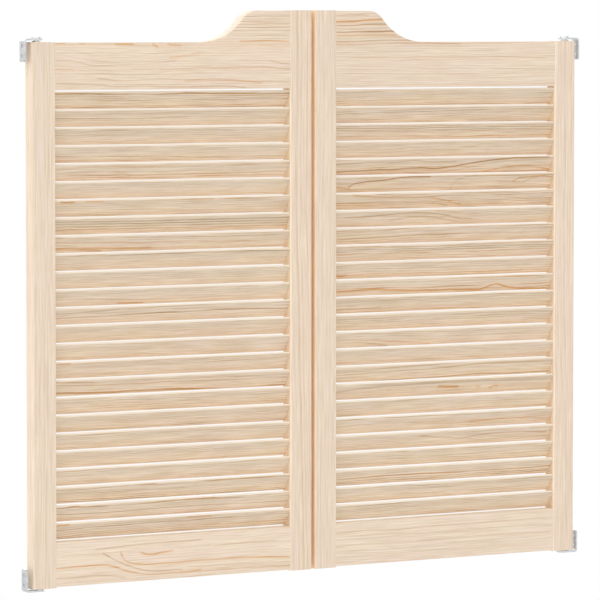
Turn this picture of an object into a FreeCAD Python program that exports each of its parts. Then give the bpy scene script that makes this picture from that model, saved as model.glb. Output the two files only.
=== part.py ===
import FreeCAD, Part
import math
import os
import re

import Sketcher

# Pair of louvred pine cafe doors on double-action pivots, in millimetres.
# +X runs from the left leaf to the right one, -Y faces the viewer and +Z is up. The origin lies midway
# between the leaves, in the middle of their thickness, level with the underside of the lower brackets.
# The left leaf and its brackets are modelled; the right ones are their mirror images.

# Driving dimensions: alias in the sheet, value in mm or degrees, and what it measures.
SIZES = (
    ("PairWidth", 900, "over both leaves, from outer edge to outer edge"),
    ("LeafGap", 5, "between the two leaves"),
    ("LeafThickness", 22, "of the stiles"),
    ("StileWidth", 36, "of all four stiles"),
    ("OuterStileLength", 755.5, "of the low stile at the jamb"),
    ("CrownRise", 44.5, "by which the middle stile is longer than the outer one"),
    ("StileEdgeRadius", 1.5, "rounding of the stiles' long edges"),
    ("RailThickness", 21, "of both rails"),
    ("TopRailDrop", 0.6, "from the stiles' ends down to the top rail"),
    ("TopRailHeight", 65.6, "at the rail's low end"),
    ("BottomRailLift", 1.5, "from the stiles' ends up to the bottom rail"),
    ("BottomRailHeight", 62.1, "of the plain rail"),
    ("RailEdgeBevel", 0.6, "along the rails' edges"),
    ("CrownLevel", 90, "level stretch of the crown, from the leaf's middle edge"),
    ("CrestRadius", 30, "convex arc of the sweep, at the crown"),
    ("FootRadius", 88, "concave arc of the sweep, at the shoulder"),
    ("SweepAngle", 51, "steepest slope of the sweep"),
    ("TenonThickness", 7, "of the rails' tenons"),
    ("TenonLength", 13, "of the rails' tenons"),
    ("TenonShoulder", 8, "from a rail's edge to its tenon"),
    ("TenonPlay", 0.1, "round a tenon in its mortise"),
    ("TenonEndPlay", 0.5, "between a tenon's end and the floor of its mortise"),
    ("SlatCount", 25, "in each leaf"),
    ("BankSlatCount", 5, "slats that share a node"),
    ("EndGap", 1.2, "by which the gaps beside the rails are wider than those between slats"),
    ("SlatWidth", 27.3, "of a slat's section"),
    ("SlatThickness", 5.5, "of a slat's section"),
    ("SlatBevel", 1.5, "on the four corners of a slat's section"),
    ("SlatAngle", 35, "lean of a slat from upright, front edge high"),
    ("HousingDepth", 6, "of the slanting mortises for the slats' ends"),
    ("HousingPlay", 0.1, "round a slat in its mortise"),
    ("HousingEndPlay", 0.5, "between a slat's end and the floor of its mortise"),
    ("PivotInset", 12, "from the leaf's outer edge to the pivot axis"),
    ("JambGap", 10, "from the leaf's outer edge to the jamb"),
    ("BracketThickness", 2.5, "of the steel strip"),
    ("BracketWidth", 14, "of the steel strip"),
    ("BracketLeg", 32, "height of the leg on the jamb"),
    ("BracketBend", 2, "inside radius of the bend"),
    ("BracketCorner", 2, "bevel on the strip's free corners"),
    ("ScrewHole", 4.5, "diameter of the holes for pan-head screws"),
    ("ScrewSpacing", 14, "between the two holes of a leg"),
    ("ScrewEdge", 8, "from the leg's free end to its nearest hole"),
    ("PinDiameter", 8, "of both pivot pins"),
    ("PinPlay", 0.05, "round a pin in its bush or bracket"),
    ("PinReach", 22, "of both pins beyond the stile's end"),
    ("PinHeadDiameter", 13, "of the top pin's head"),
    ("PinHeadHeight", 2.2, "of the top pin's head"),
    ("TopPlay", 1, "between the top bush and its bracket"),
    ("BushDiameter", 12, "of the bushes"),
    ("BushLength", 24, "of the bushes"),
    ("BushStand", 1.5, "by which a bush stands out of the stile's end"),
    ("RodDiameter", 2, "of the torsion rod"),
    ("RodLength", 150, "of the rod between its flattened ends"),
    ("TangThickness", 1, "of the rod's flattened ends"),
    ("TangWidth", 3.2, "of the rod's flattened ends"),
    ("TangLength", 5, "of the rod's flattened ends"),
    ("TangPlay", 0.05, "at each side of a flattened end in its slot"),
    ("AnchorDiameter", 8, "of the plug that holds the rod's upper end"),
    ("AnchorLength", 12, "of the plug"),
    ("AnchorEndPlay", 0.5, "beyond the plug in its bore"),
)

# Lengths that differ by less than this are the same.
COINCIDENT = 1e-6

doc = FreeCAD.newDocument("cafe_doors")
sheet = doc.addObject("Spreadsheet::Sheet", "Sizes")
for line, (alias, size, meaning) in enumerate(SIZES, 1):
    sheet.set(f"A{line}", meaning)
    sheet.set(f"B{line}", str(size))
    sheet.setAlias(f"B{line}", alias)
doc.recompute()

# Lengths worked out from the sheet, written as formulas of its aliases.
LEAF_WIDTH = "((PairWidth - LeafGap) / 2)"
RAIL_LENGTH = f"({LEAF_WIDTH} - 2 * StileWidth)"
LEAF_BASE = "(BracketThickness + BushStand)"
TOP_BRACKET = f"({LEAF_BASE} + OuterStileLength + BushStand + TopPlay + BracketThickness)"
AXIS_X = "(PivotInset - PairWidth / 2)"
BOTTOM_RAIL_TOP = "(BottomRailLift + BottomRailHeight)"
TOP_RAIL_FOOT = "(OuterStileLength - TopRailDrop - TopRailHeight)"
CROWN_HEIGHT = "(TopRailHeight + CrownRise)"
SLAT_LONG_CORNER = "(SlatWidth / 2 * cos(SlatAngle) + (SlatThickness / 2 - SlatBevel) * sin(SlatAngle))"
SLAT_FLAT_CORNER = "((SlatWidth / 2 - SlatBevel) * cos(SlatAngle) + SlatThickness / 2 * sin(SlatAngle))"
SLAT_RISE = f"(2 * max({SLAT_LONG_CORNER}; {SLAT_FLAT_CORNER}))"
SLAT_SPACE = f"({TOP_RAIL_FOOT} - {BOTTOM_RAIL_TOP} - 2 * EndGap)"
SLAT_PITCH = f"(({SLAT_SPACE} + {SLAT_RISE}) / (SlatCount + 1))"
FIRST_SLAT = f"({BOTTOM_RAIL_TOP} + EndGap + {SLAT_PITCH} - {SLAT_RISE} / 2)"
ROD_FOOT = "(PinReach - TangLength)"
ANCHOR_FOOT = "(PinReach + RodLength)"


def formula(text):
    """The text with each alias, which is a capitalised word, as a reference to the sheet."""
    return re.sub(r"\b([A-Z]\w*)", r"<<Sizes>>.\1", text)


def number(text):
    return float(sheet.evalExpression(formula(text)))


def bind(item, **formulas):
    """Ties properties to the sheet; a double underscore stands for a dot in the property's path."""
    for path, text in formulas.items():
        item.setExpression(path.replace("__", "."), formula(text))


def new_body(label):
    body = doc.addObject("PartDesign::Body", label)
    body.Label = label
    return body


def place(item, x="0", y="0", z="0"):
    bind(item, Placement__Base__x=x, Placement__Base__y=y, Placement__Base__z=z)


def origin_item(body, role):
    return next(item for item in body.Origin.OriginFeatures if item.Role == role)


def new_sketch(body, plane, offset="0"):
    sketch = body.newObject("Sketcher::SketchObject", f"{body.Name}_sketch")
    sketch.AttachmentSupport = [(origin_item(body, plane), "")]
    sketch.MapMode = "FlatFace"
    bind(sketch, AttachmentOffset__Base__z=offset)
    return sketch


def fix_length(sketch, kind, geometry, end, text):
    """Sets one coordinate of a point of the sketch, or an arc's radius, by a formula."""
    where = (geometry,) if kind == "Radius" else (-1, 1, geometry, end)
    index = sketch.addConstraint(Sketcher.Constraint(kind, *where, number(text)))
    sketch.setExpression(f"Constraints[{index}]", formula(text))


def fix_point(sketch, geometry, end, x, y):
    fix_length(sketch, "DistanceX", geometry, end, x)
    fix_length(sketch, "DistanceY", geometry, end, y)


def outline(sketch, *corners):
    """Closed outline of straight edges through corners, each an (x, y) pair of formulas."""
    points = [FreeCAD.Vector(number(x), number(y), 0) for x, y in corners]
    for start, end in zip(points, points[1:] + points[:1]):
        sketch.addGeometry(Part.LineSegment(start, end), False)
    for index, (x, y) in enumerate(corners):
        before = (index - 1) % len(corners)
        sketch.addConstraint(Sketcher.Constraint("Coincident", before, 2, index, 1))
        fix_point(sketch, index, 1, x, y)


def circle(sketch, x, y, radius):
    centre = FreeCAD.Vector(number(x), number(y), 0)
    index = sketch.addGeometry(Part.Circle(centre, FreeCAD.Vector(0, 0, 1), number(radius)), False)
    fix_point(sketch, index, 3, x, y)
    fix_length(sketch, "Radius", index, 0, radius)


def slat_section(sketch, play="0", y="0"):
    """Slat section with bevelled corners, its front edge the high one, grown all round by play."""
    wide = f"(SlatWidth / 2 + {play})"
    thick = f"(SlatThickness / 2 + {play})"
    short = f"({thick} - SlatBevel)"
    flat = f"({wide} - SlatBevel)"
    upright = (
        (short, wide), (thick, flat), (thick, f"-{flat}"), (short, f"-{wide}"),
        (f"-{short}", f"-{wide}"), (f"-{thick}", f"-{flat}"), (f"-{thick}", flat), (f"-{short}", wide),
    )
    outline(sketch, *[
        (
            f"{across} * cos(SlatAngle) - {along} * sin(SlatAngle)",
            f"{y} + {across} * sin(SlatAngle) + {along} * cos(SlatAngle)",
        )
        for across, along in upright
    ])


def pad(body, sketch, length, both_ways=False, backwards=False):
    feature = body.newObject("PartDesign::Pad", f"{body.Name}_pad")
    feature.Profile = sketch
    feature.SideType = "Symmetric" if both_ways else "One side"
    feature.Reversed = backwards
    bind(feature, Length=length)
    doc.recompute()
    return feature


def revolve(body, sketch):
    feature = body.newObject("PartDesign::Revolution", f"{body.Name}_turned")
    feature.Profile = sketch
    feature.ReferenceAxis = (sketch, ["V_Axis"])
    feature.Angle = 360
    doc.recompute()


def pocket(body, sketch, depth, both_ways=False, along_normal=False):
    """Cuts against the sketch's normal, along it or both ways, and makes sure that it cut."""
    before = body.Tip.Shape.Volume
    feature = body.newObject("PartDesign::Pocket", f"{body.Name}_pocket")
    feature.Profile = sketch
    feature.SideType = "Symmetric" if both_ways else "One side"
    feature.Reversed = along_normal
    bind(feature, Length=depth)
    doc.recompute()
    if not feature.Shape.Volume < before:
        raise RuntimeError(f"{feature.Name} cuts nothing")
    return feature


def row(body, feature, step, count):
    """Repeats a feature upwards."""
    pattern = body.newObject("PartDesign::LinearPattern", f"{body.Name}_row")
    pattern.Originals = [feature]
    pattern.Direction = (origin_item(body, "Z_Axis"), [""])
    pattern.Mode = "Spacing"
    bind(pattern, Offset=step, Occurrences=count)
    body.Tip = pattern
    doc.recompute()


def dress(body, kind, wanted, **size):
    """Puts a Fillet or a Chamfer on those edges of the body for which wanted(box of edge) is true."""
    base = body.Tip
    names = [
        f"Edge{index}" for index, edge in enumerate(base.Shape.Edges, 1) if wanted(edge.BoundBox)
    ]
    feature = body.newObject(f"PartDesign::{kind}", f"{body.Name}_{kind}")
    feature.Base = (base, names)
    bind(feature, **size)
    doc.recompute()


def near(value, text):
    """Whether a coordinate is at the place that a formula gives."""
    return abs(value - number(text)) < COINCIDENT


def stile(label, length, rail_height, face, along_normal):
    """Upright with the mortises of slats and tenons in the face that meets the rails' ends."""
    body = new_body(label)
    sketch = new_sketch(body, "XY_Plane")
    half = "LeafThickness / 2"
    outline(sketch, ("0", f"-{half}"), ("StileWidth", f"-{half}"), ("StileWidth", half), ("0", half))
    pad(body, sketch, length)
    dress(body, "Fillet", lambda box: box.ZLength > COINCIDENT, Radius="StileEdgeRadius")

    for foot, height in ((TOP_RAIL_FOOT, rail_height), ("BottomRailLift", "BottomRailHeight")):
        sketch = new_sketch(body, "YZ_Plane", face)
        tenon_section(sketch, height, foot, "TenonPlay")
        pocket(body, sketch, "TenonLength + TenonEndPlay", along_normal=along_normal)

    sketch = new_sketch(body, "YZ_Plane", face)
    slat_section(sketch, "HousingPlay", FIRST_SLAT)
    housing = pocket(body, sketch, "HousingDepth", along_normal=along_normal)
    row(body, housing, SLAT_PITCH, "SlatCount")
    return body


def tenon_section(sketch, rail_height, foot="0", play="0"):
    """Section of the tenon at a rail's end of some height, grown all round by play."""
    half = f"(TenonThickness / 2 + {play})"
    low = f"{foot} + TenonShoulder - {play}"
    high = f"{foot} + {rail_height} - TenonShoulder + {play}"
    outline(sketch, (f"-{half}", low), (half, low), (half, high), (f"-{half}", high))


def bore(body, plane_height, diameter, depth, upwards):
    """Round hole on the pivot axis into one end of the outer stile."""
    sketch = new_sketch(body, "XY_Plane", plane_height)
    circle(sketch, "PivotInset", "0", f"{diameter} / 2")
    pocket(body, sketch, depth, along_normal=upwards)


def outer_stile():
    """Low stile at the jamb, bored for the bushes and, from below, for the torsion rod."""
    body = stile("left_outer_stile", "OuterStileLength", "TopRailHeight", "StileWidth", False)
    bore(body, "OuterStileLength", "BushDiameter", "BushLength - BushStand", False)
    bore(body, "0", "BushDiameter", "BushLength - BushStand", True)
    bore(body, "0", "AnchorDiameter", f"{ANCHOR_FOOT} + AnchorLength + AnchorEndPlay", True)
    place(body, "-PairWidth / 2", "0", LEAF_BASE)
    return body


def inner_stile():
    body = stile("left_inner_stile", "OuterStileLength + CrownRise", CROWN_HEIGHT, "0", True)
    place(body, "-LeafGap / 2 - StileWidth", "0", LEAF_BASE)
    return body


def crown_outline(sketch):
    """Top rail seen from the front: low shoulder at the left, S-curve, level crown at the right."""
    crest_x = f"({RAIL_LENGTH} - CrownLevel + StileWidth)"
    crest_end_x = f"({crest_x} - CrestRadius * sin(SweepAngle))"
    crest_end_y = f"({CROWN_HEIGHT} - CrestRadius * (1 - cos(SweepAngle)))"
    foot_end_y = "(TopRailHeight + FootRadius * (1 - cos(SweepAngle)))"
    foot_end_x = f"({crest_end_x} - ({crest_end_y} - {foot_end_y}) / tan(SweepAngle))"
    foot_x = f"({foot_end_x} - FootRadius * sin(SweepAngle))"
    corners = [
        ("0", "0"), (RAIL_LENGTH, "0"), (RAIL_LENGTH, CROWN_HEIGHT), (crest_x, CROWN_HEIGHT),
        (crest_end_x, crest_end_y), (foot_end_x, foot_end_y), (foot_x, "TopRailHeight"),
        ("0", "TopRailHeight"),
    ]
    points = [FreeCAD.Vector(number(x), number(y), 0) for x, y in corners]
    up = FreeCAD.Vector(0, 0, 1)
    slope = math.radians(number("SweepAngle"))
    crest = Part.Circle(points[3] - FreeCAD.Vector(0, number("CrestRadius"), 0), up, number("CrestRadius"))
    foot = Part.Circle(points[6] + FreeCAD.Vector(0, number("FootRadius"), 0), up, number("FootRadius"))
    down = 1.5 * math.pi
    edges = (
        Part.LineSegment(points[0], points[1]),
        Part.LineSegment(points[1], points[2]),
        Part.LineSegment(points[2], points[3]),
        Part.ArcOfCircle(crest, math.pi / 2, math.pi / 2 + slope),
        Part.LineSegment(points[4], points[5]),
        Part.ArcOfCircle(foot, down, down + slope),
        Part.LineSegment(points[6], points[7]),
        Part.LineSegment(points[7], points[0]),
    )
    for edge in edges:
        sketch.addGeometry(edge, False)
    # The foot's arc runs from its low end to its high one, against the outline's direction.
    for kind, before, end, after, start in (
        ("Coincident", 0, 2, 1, 1), ("Coincident", 1, 2, 2, 1), ("Tangent", 2, 2, 3, 1),
        ("Tangent", 3, 2, 4, 1), ("Tangent", 4, 2, 5, 2), ("Tangent", 5, 1, 6, 1),
        ("Coincident", 6, 2, 7, 1), ("Coincident", 7, 2, 0, 1),
    ):
        sketch.addConstraint(Sketcher.Constraint(kind, before, end, after, start))
    for corner in (0, 1, 2, 7):
        fix_point(sketch, corner, 1, *corners[corner])
    fix_length(sketch, "DistanceX", 2, 2, crest_x)
    fix_length(sketch, "DistanceY", 2, 2, CROWN_HEIGHT)
    fix_length(sketch, "Radius", 3, 0, "CrestRadius")
    fix_length(sketch, "Radius", 5, 0, "FootRadius")
    fix_length(sketch, "DistanceY", 3, 2, crest_end_y)
    fix_length(sketch, "DistanceY", 6, 1, "TopRailHeight")


def rail(label, draw_front, foot, outer_height, inner_height):
    """Rail drawn from the front, its long edges bevelled, with a tenon on each end."""
    body = new_body(label)
    sketch = new_sketch(body, "XZ_Plane")
    draw_front(sketch)
    pad(body, sketch, "RailThickness", both_ways=True)
    dress(
        body, "Chamfer", lambda box: box.YLength < COINCIDENT < box.XLength, Size="RailEdgeBevel",
    )
    for face, height, backwards in (("0", outer_height, True), (RAIL_LENGTH, inner_height, False)):
        sketch = new_sketch(body, "YZ_Plane", face)
        tenon_section(sketch, height)
        pad(body, sketch, "TenonLength", backwards=backwards)
    place(body, "-PairWidth / 2 + StileWidth", "0", f"{LEAF_BASE} + {foot}")
    return body


def plain_outline(sketch):
    height = "BottomRailHeight"
    outline(sketch, ("0", "0"), (RAIL_LENGTH, "0"), (RAIL_LENGTH, height), ("0", height))


def slat_bank(bank):
    """One bank of slats, each a separate solid, from the bottom of the leaf upwards."""
    first = f"{bank} * BankSlatCount"
    body = new_body(f"left_slats_{bank + 1}")
    sketch = new_sketch(body, "YZ_Plane")
    slat_section(sketch)
    slat = pad(body, sketch, f"{RAIL_LENGTH} + 2 * (HousingDepth - HousingEndPlay)")
    row(body, slat, SLAT_PITCH, f"min(BankSlatCount; SlatCount - {first})")
    place(
        body,
        "-PairWidth / 2 + StileWidth - HousingDepth + HousingEndPlay",
        "0",
        f"{LEAF_BASE} + {FIRST_SLAT} + {first} * {SLAT_PITCH}",
    )
    return body


def bracket(label, hole):
    """Angle bracket about the pivot axis: a tongue with the pin's hole, and a leg with two screw holes."""
    body = new_body(label)
    jamb = "(-PivotInset - JambGap)"
    leg_face = f"({jamb} + BracketThickness)"
    half = "BracketWidth / 2"
    sketch = new_sketch(body, "XZ_Plane")
    outline(
        sketch,
        (jamb, "0"), (half, "0"), (half, "BracketThickness"), (leg_face, "BracketThickness"),
        (leg_face, "BracketLeg"), (jamb, "BracketLeg"),
    )
    pad(body, sketch, "BracketWidth", both_ways=True)

    def runs_across(box, x, z):
        return box.YLength > COINCIDENT and near(box.Center.x, x) and near(box.Center.z, z)

    def free_corner(box):
        on_leg = near(box.ZMin, "BracketLeg") and box.XLength > COINCIDENT
        on_tongue = near(box.XMin, half) and box.ZLength > COINCIDENT
        return box.YLength < COINCIDENT and (on_leg or on_tongue)

    dress(
        body, "Fillet", lambda box: runs_across(box, leg_face, "BracketThickness"),
        Radius="BracketBend",
    )
    dress(
        body, "Fillet", lambda box: runs_across(box, jamb, "0"),
        Radius="BracketBend + BracketThickness",
    )
    dress(body, "Chamfer", free_corner, Size="BracketCorner")
    sketch = new_sketch(body, "XY_Plane", "BracketThickness")
    circle(sketch, "0", "0", hole)
    pocket(body, sketch, "BracketThickness")

    sketch = new_sketch(body, "YZ_Plane", leg_face)
    for height in ("BracketLeg - ScrewEdge", "BracketLeg - ScrewEdge - ScrewSpacing"):
        circle(sketch, "0", height, "ScrewHole / 2")
    pocket(body, sketch, "BracketThickness")
    return body


def top_bracket():
    """Bracket with its leg hanging beside the stile, the tongue above the stile's end."""
    body = bracket("left_top_bracket", "PinDiameter / 2 + PinPlay")
    body.Placement.Rotation = FreeCAD.Rotation(FreeCAD.Vector(1, 0, 0), 180)
    place(body, AXIS_X, "0", TOP_BRACKET)
    return body


def bottom_bracket():
    body = bracket("left_bottom_bracket", "PinDiameter / 2")
    place(body, AXIS_X)
    return body


def turned(label, z, *corners):
    """Piece turned about the pivot axis from the half section through corners, set at height z."""
    body = new_body(label)
    sketch = new_sketch(body, "XZ_Plane")
    outline(sketch, *corners)
    revolve(body, sketch)
    place(body, AXIS_X, "0", z)
    return body


def slot(body, floor, top):
    """Slot right across a turned piece that grips a flattened end of the torsion rod."""
    half = "(TangThickness / 2 + TangPlay)"
    sketch = new_sketch(body, "XZ_Plane")
    outline(sketch, (f"-{half}", floor), (half, floor), (half, top), (f"-{half}", top))
    pocket(body, sketch, "2 * PinDiameter", both_ways=True)


def top_pivot_pin():
    """Headed pin dropped through the top bracket into the bush."""
    radius = "PinDiameter / 2"
    head = "PinHeadDiameter / 2"
    tip = "(-BracketThickness - TopPlay - BushStand - PinReach)"
    return turned(
        "left_top_pivot_pin", TOP_BRACKET,
        ("0", tip), (radius, tip), (radius, "0"), (head, "0"), (head, "PinHeadHeight"),
        ("0", "PinHeadHeight"),
    )


def bottom_pivot_pin():
    """Pin pressed in the bottom bracket; its slotted top holds the torsion rod's foot."""
    radius = "PinDiameter / 2"
    top = f"({LEAF_BASE} + PinReach)"
    body = turned("left_bottom_pivot_pin", "0", ("0", "0"), (radius, "0"), (radius, top), ("0", top))
    slot(body, f"{LEAF_BASE} + {ROD_FOOT}", top)
    return body


def bush(label, z):
    """Plain sleeve pressed in the stile's end and standing out of it to run on the bracket."""
    hole = "PinDiameter / 2 + PinPlay"
    rim = "BushDiameter / 2"
    return turned(label, z, (hole, "0"), (rim, "0"), (rim, "BushLength"), (hole, "BushLength"))


def torsion_rod():
    """Spring rod on the pivot axis, flattened at its foot in the pin and at its top in the anchor."""
    body = new_body("left_torsion_rod")
    wide = "TangWidth / 2"
    thick = "TangThickness / 2"
    for foot in (ROD_FOOT, ANCHOR_FOOT):
        sketch = new_sketch(body, "XY_Plane", foot)
        outline(sketch, (f"-{thick}", f"-{wide}"), (thick, f"-{wide}"), (thick, wide), (f"-{thick}", wide))
        pad(body, sketch, "TangLength")
    sketch = new_sketch(body, "XY_Plane", "PinReach")
    circle(sketch, "0", "0", "RodDiameter / 2")
    pad(body, sketch, "RodLength")
    place(body, AXIS_X, "0", LEAF_BASE)
    return body


def rod_anchor():
    """Plug at the end of the stile's long bore that turns the rod's upper end with the leaf."""
    radius = "AnchorDiameter / 2"
    body = turned(
        "left_rod_anchor", f"{LEAF_BASE} + {ANCHOR_FOOT}",
        ("0", "0"), (radius, "0"), (radius, "AnchorLength"), ("0", "AnchorLength"),
    )
    slot(body, "0", "TangLength + TangPlay")
    return body


def mirror(body):
    """The right-hand twin of a left-hand piece, mirrored in the plane midway between the leaves."""
    label = body.Label.replace("left_", "right_")
    twin = doc.addObject("Part::Mirroring", label)
    twin.Label = label
    twin.Source = body
    twin.Base = FreeCAD.Vector(0, 0, 0)
    twin.Normal = FreeCAD.Vector(1, 0, 0)
    return twin


banks = math.ceil(number("SlatCount / BankSlatCount"))
left_pieces = [
    outer_stile(),
    inner_stile(),
    rail("left_top_rail", crown_outline, TOP_RAIL_FOOT, "TopRailHeight", CROWN_HEIGHT),
    rail("left_bottom_rail", plain_outline, "BottomRailLift", "BottomRailHeight", "BottomRailHeight"),
    *[slat_bank(bank) for bank in range(banks)],
    bush("left_top_bush", f"{LEAF_BASE} + OuterStileLength + BushStand - BushLength"),
    bush("left_bottom_bush", "BracketThickness"),
    torsion_rod(),
    rod_anchor(),
    top_bracket(),
    bottom_bracket(),
    top_pivot_pin(),
    bottom_pivot_pin(),
]
pieces = left_pieces + [mirror(body) for body in left_pieces]
doc.recompute()

for item in doc.Objects:
    if {"Invalid", "Error"} & set(item.State):
        raise RuntimeError(f"{item.Label} did not build: {item.State}")
for piece in pieces:
    if piece.Shape.isNull() or not piece.Shape.isValid():
        raise RuntimeError(f"{piece.Label} has no valid shape")

os.makedirs("parts", exist_ok=True)
for piece in pieces:
    piece.Shape.exportStep(f"parts/{piece.Label}.step")
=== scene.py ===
"""Cafe swinging doors: two louvred pine leaves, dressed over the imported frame.

Metres, in the frame's own axes: the pair faces -Y, +Z is up, the leaves meet at X = 0.
"""

import math
import random

import bmesh
import bpy
from mathutils import Euler, Matrix, Vector


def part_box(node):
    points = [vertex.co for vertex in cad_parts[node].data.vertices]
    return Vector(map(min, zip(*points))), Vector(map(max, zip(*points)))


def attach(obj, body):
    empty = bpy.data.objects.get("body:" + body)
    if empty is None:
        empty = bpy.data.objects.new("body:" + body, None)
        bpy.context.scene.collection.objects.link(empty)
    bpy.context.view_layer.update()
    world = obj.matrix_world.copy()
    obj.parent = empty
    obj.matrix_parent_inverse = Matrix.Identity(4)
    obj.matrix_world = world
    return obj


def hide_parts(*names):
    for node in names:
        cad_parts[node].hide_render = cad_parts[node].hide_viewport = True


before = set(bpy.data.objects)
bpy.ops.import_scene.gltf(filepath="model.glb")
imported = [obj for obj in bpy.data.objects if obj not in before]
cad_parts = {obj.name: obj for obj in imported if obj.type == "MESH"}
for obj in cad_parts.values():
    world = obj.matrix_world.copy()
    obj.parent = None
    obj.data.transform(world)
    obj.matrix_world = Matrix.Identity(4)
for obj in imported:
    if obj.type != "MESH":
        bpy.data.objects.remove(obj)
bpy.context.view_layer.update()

MM = 0.001
SAME_PLACE = 1e-6
LEAVES = ("left", "right")

# Edges and ends of the boards
STILE_ROUND = 2.2 * MM
STILE_END_EASE = 0.8 * MM
RAIL_EASE = 0.7 * MM
SLAT_ROUND = 1.5 * MM
ROUND_STEPS = 4
EASE_STEPS = 2
SHARP_ANGLE = math.radians(35)

# How far a rail's end runs in under the stile's rounded edge, so that no groove opens between them
RAIL_TUCK = 0.8 * MM

# Louvres, and how far hand fitting leaves each from its true lean and height
BANKS = 5
SLATS_IN_BANK = 5
SLAT_WIDTH = 27.3 * MM
SLAT_THICKNESS = 5.5 * MM
SLAT_LEAN = math.radians(35)
SLAT_RISE = 23.80 * MM
LEAN_PLAY_DEGREES = 0.5
HEIGHT_PLAY_MM = 0.1

# Crown of the top rail: level stretch, then an S-curve down to the shoulder
CROWN_LEVEL = 90 * MM
CREST_RADIUS = 30 * MM
FOOT_RADIUS = 88 * MM
SWEEP_ANGLE = math.radians(51)
SHOULDER_HEIGHT = 65.6 * MM
CREST_STEPS = 12
FOOT_STEPS = 20


# ---------------------------------------------------------------- shader nodes

class Wiring:
    """Adds nodes to one tree; a value may be a number, a colour or another node's output."""

    def __init__(self, tree):
        self.tree = tree

    def node(self, kind, settings=None, **inputs):
        made = self.tree.nodes.new(kind)
        for name, value in (settings or {}).items():
            setattr(made, name, value)
        for name, value in inputs.items():
            self.feed(made.inputs[name.replace("_", " ")], value)
        return made

    def feed(self, socket, value):
        if isinstance(value, bpy.types.NodeSocket):
            self.tree.links.new(value, socket)
        else:
            socket.default_value = value

    def math(self, operation, *values, clamp=False):
        made = self.tree.nodes.new("ShaderNodeMath")
        made.operation = operation
        made.use_clamp = clamp
        for socket, value in zip(made.inputs, values):
            self.feed(socket, value)
        return made.outputs[0]

    def vector(self, operation, *values):
        made = self.tree.nodes.new("ShaderNodeVectorMath")
        made.operation = operation
        for socket, value in zip(made.inputs, values):
            self.feed(socket, value)
        return made.outputs["Value" if operation == "LENGTH" else "Vector"]

    def split(self, value):
        made = self.node("ShaderNodeSeparateXYZ", Vector=value)
        return made.outputs[0], made.outputs[1], made.outputs[2]

    def join(self, x, y, z):
        return self.node("ShaderNodeCombineXYZ", X=x, Y=y, Z=z).outputs[0]

    def ramp(self, value, low, high, start=0.0, end=1.0):
        """Eases from start to end while the value goes from low to high."""
        made = self.node("ShaderNodeMapRange", {"interpolation_type": "SMOOTHSTEP"})
        for socket, number in zip(made.inputs, (value, low, high, start, end)):
            self.feed(socket, number)
        return made.outputs[0]

    def mix(self, factor, first, second, blend="MIX"):
        made = self.node("ShaderNodeMix", {"data_type": "RGBA", "blend_type": blend})
        self.feed(made.inputs[0], factor)
        self.feed(made.inputs[6], first)
        self.feed(made.inputs[7], second)
        return made.outputs[2]

    def mix_shaders(self, factor, first, second):
        made = self.node("ShaderNodeMixShader")
        for socket, value in zip(made.inputs, (factor, first, second)):
            self.feed(socket, value)
        return made.outputs[0]

    def noise(self, position, detail=2.0, roughness=0.5, scale=1.0):
        return self.node("ShaderNodeTexNoise", Vector=position, Scale=scale, Detail=detail,
                         Roughness=roughness).outputs[0]

    def centred(self, value, size):
        """A noise of 0 to 1 as a swing about nought."""
        return self.math("MULTIPLY", self.math("SUBTRACT", value, 0.5), size)

    def bump(self, height, strength, distance):
        made = self.node("ShaderNodeBump", Strength=strength, Distance=distance, Height=height)
        return made.outputs[0]

    def attribute(self, name):
        return self.node("ShaderNodeAttribute", {"attribute_name": name}).outputs["Vector"]


def colour(red, green, blue):
    """A colour from its written 8-bit values."""
    linear = [
        value / 12.92 if value <= 0.04045 else ((value + 0.055) / 1.055) ** 2.4
        for value in (red / 255, green / 255, blue / 255)
    ]
    return (*linear, 1.0)


def new_group(name, inputs, outputs):
    tree = bpy.data.node_groups.new(name, "ShaderNodeTree")
    for label, kind in inputs:
        tree.interface.new_socket(name=label, in_out="INPUT", socket_type=f"NodeSocket{kind}")
    for label, kind in outputs:
        tree.interface.new_socket(name=label, in_out="OUTPUT", socket_type=f"NodeSocket{kind}")
    return tree, tree.nodes.new("NodeGroupInput").outputs, tree.nodes.new("NodeGroupOutput").inputs


def new_material(name):
    material = bpy.data.materials.new(name)
    material.use_nodes = True
    shader = material.node_tree.nodes["Principled BSDF"]
    return material, Wiring(material.node_tree), shader


# ---------------------------------------------------------------- pine

UPRIGHT = Matrix(((0, 0, 1), (-1, 0, 0), (0, -1, 0))).to_euler()
LEVEL = Euler((-math.pi / 2, 0, 0))
LEANING = Euler((-math.pi / 2 - SLAT_LEAN, 0, 0))

# How each kind of board is turned to bring its grain to X and its face to Z, and how far its growth
# rings wander, in millimetres
TURNS = {"stile": UPRIGHT, "rail": LEVEL, "slat": LEANING}
WANDER = {"stile": 9.0, "rail": 8.0, "slat": 12.0}

# What dark and pale fibres do to the wood's colour
FIBRE_RANGE = {
    "stile": ((0.92, 0.895, 0.85, 1), (1.045, 1.06, 1.085, 1)),
    "rail": ((0.92, 0.895, 0.85, 1), (1.045, 1.06, 1.085, 1)),
    "slat": ((0.87, 0.84, 0.78, 1), (1.085, 1.11, 1.155, 1)),
}

# Colours of planed pine, and of the three kinds of dark line
CLEAR_WOOD = colour(236, 216, 199)
CREAM_WOOD = colour(239, 221, 200)
STREAK_WOOD = colour(228, 206, 180)
EARLY_WOOD = colour(244, 230, 209)
WARM_WOOD = colour(238, 208, 168)
LATE_BROWN = colour(176, 148, 108)
LATE_ORANGE = colour(210, 154, 96)
WASH = colour(228, 192, 150)
LINE_TINTS = {
    "grey": colour(184, 160, 128),
    "brown": colour(184, 144, 102),
    "orange": colour(212, 158, 102),
}
# Painted light: a paler colour for a rail's edge faces, and a painted highlight along a slat's high edge
RAIL_RIM_PAINTED_LIGHT = colour(241, 229, 211)
SLAT_RIDGE_HIGHLIGHT = colour(250, 239, 222)
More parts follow.
